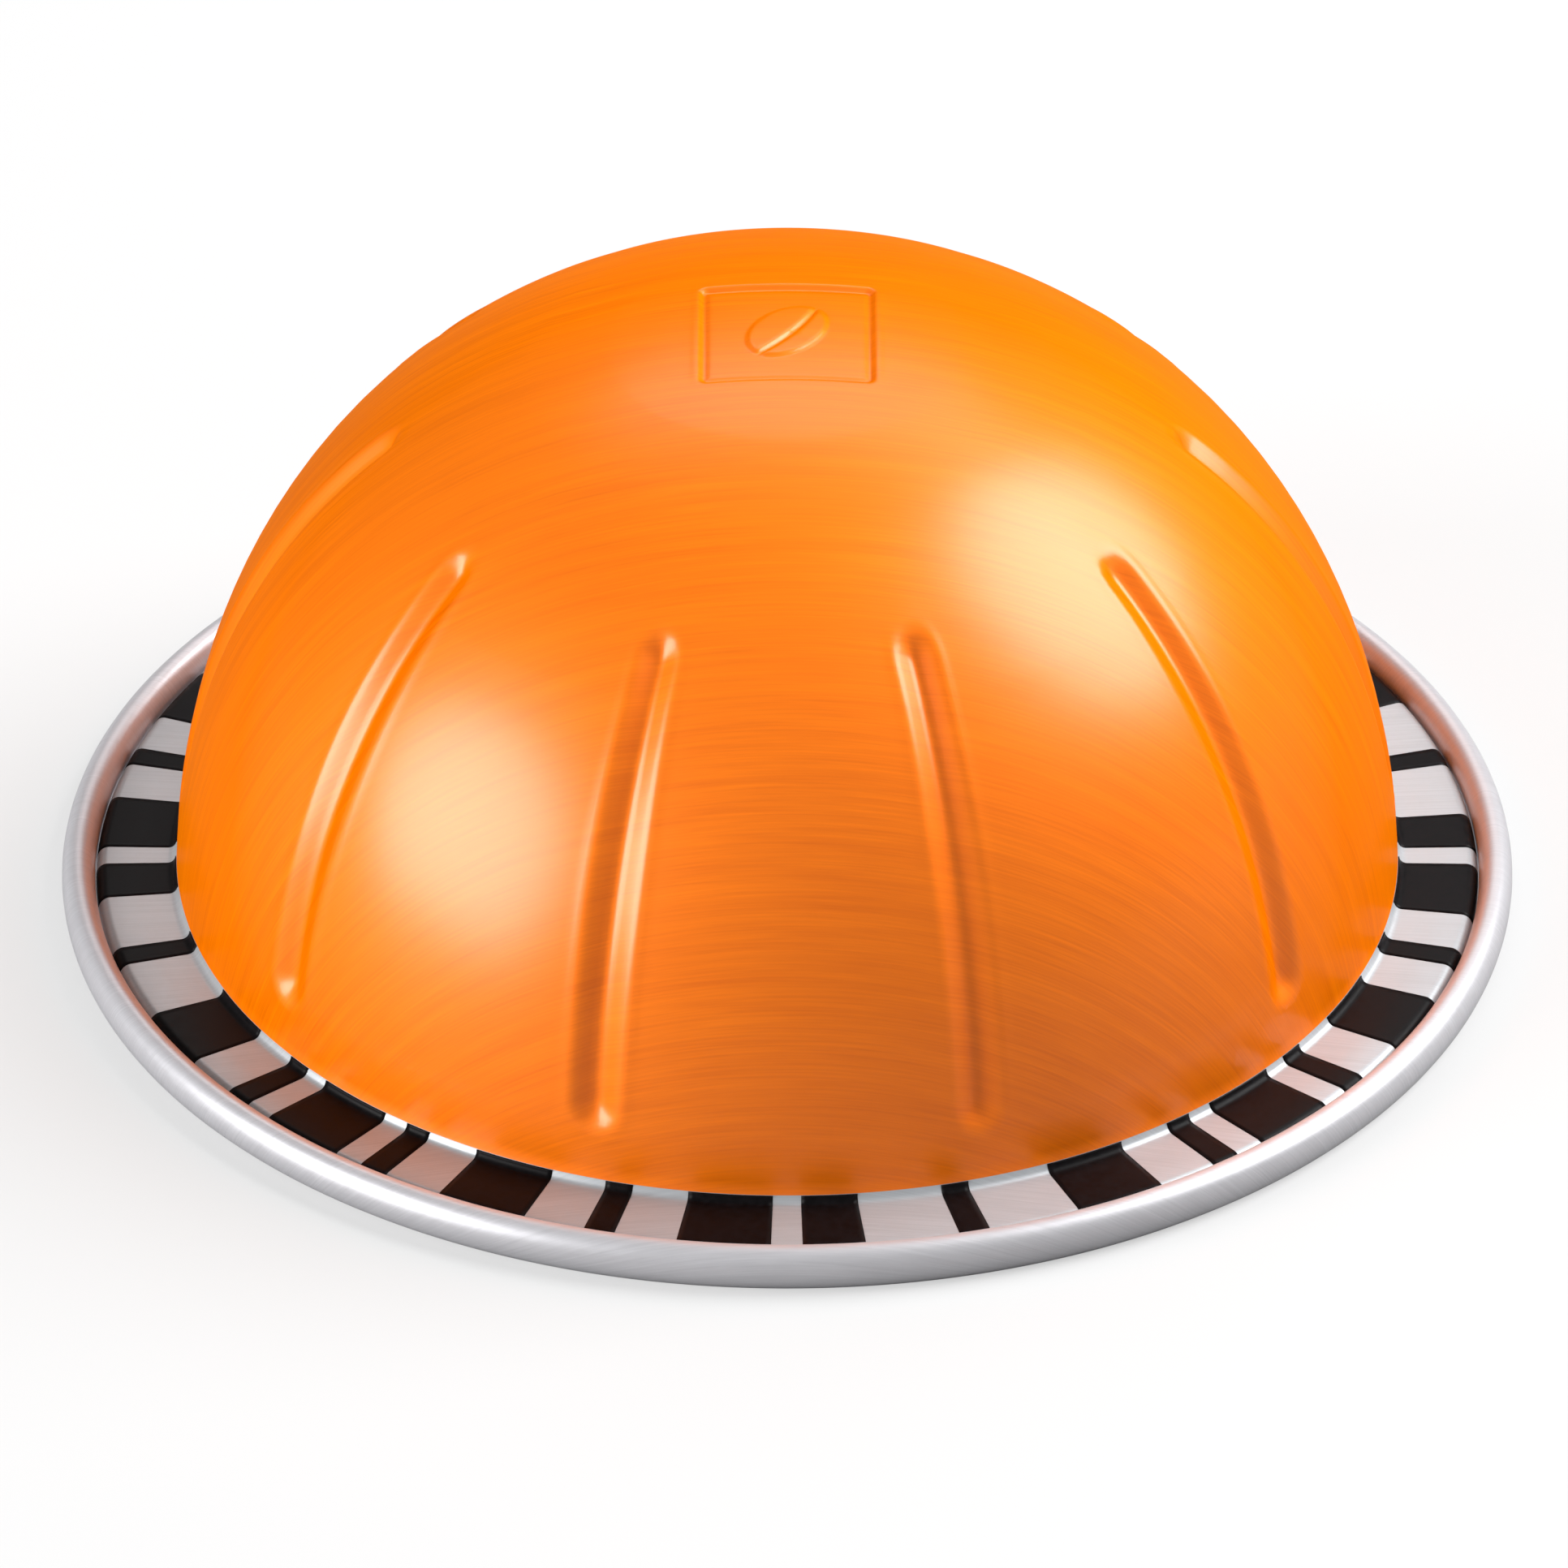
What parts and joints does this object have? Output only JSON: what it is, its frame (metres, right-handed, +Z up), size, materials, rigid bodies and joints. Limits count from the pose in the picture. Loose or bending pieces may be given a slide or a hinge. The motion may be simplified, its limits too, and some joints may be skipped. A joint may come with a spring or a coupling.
{
  "type": "coffee pod",
  "caption": "Sealed domed aluminium coffee pod: orange grooved dome with a pressed panel, silver flange with a ring of black code bars, rolled rim and foil lid.",
  "frame": {"origin": "centre of the circle that the rolled rim stands on", "axes": "+Z up through the crown of the dome, -Y towards the front of the picture, square to a side of the crown panel"},
  "size_m": [0.061, 0.061, 0.0273],
  "materials": {
    "lacquered_aluminium": "satin orange lacquer over brushed aluminium, bare satin aluminium on the flange and rim",
    "lid_foil": "matt silver foil",
    "black_ink": "satin black ink"
  },
  "bodies": {
    "root": {"cup": "lacquered_aluminium", "lid_foil": "lid_foil", "code_print": "black_ink"}
  },
  "joints": []
}
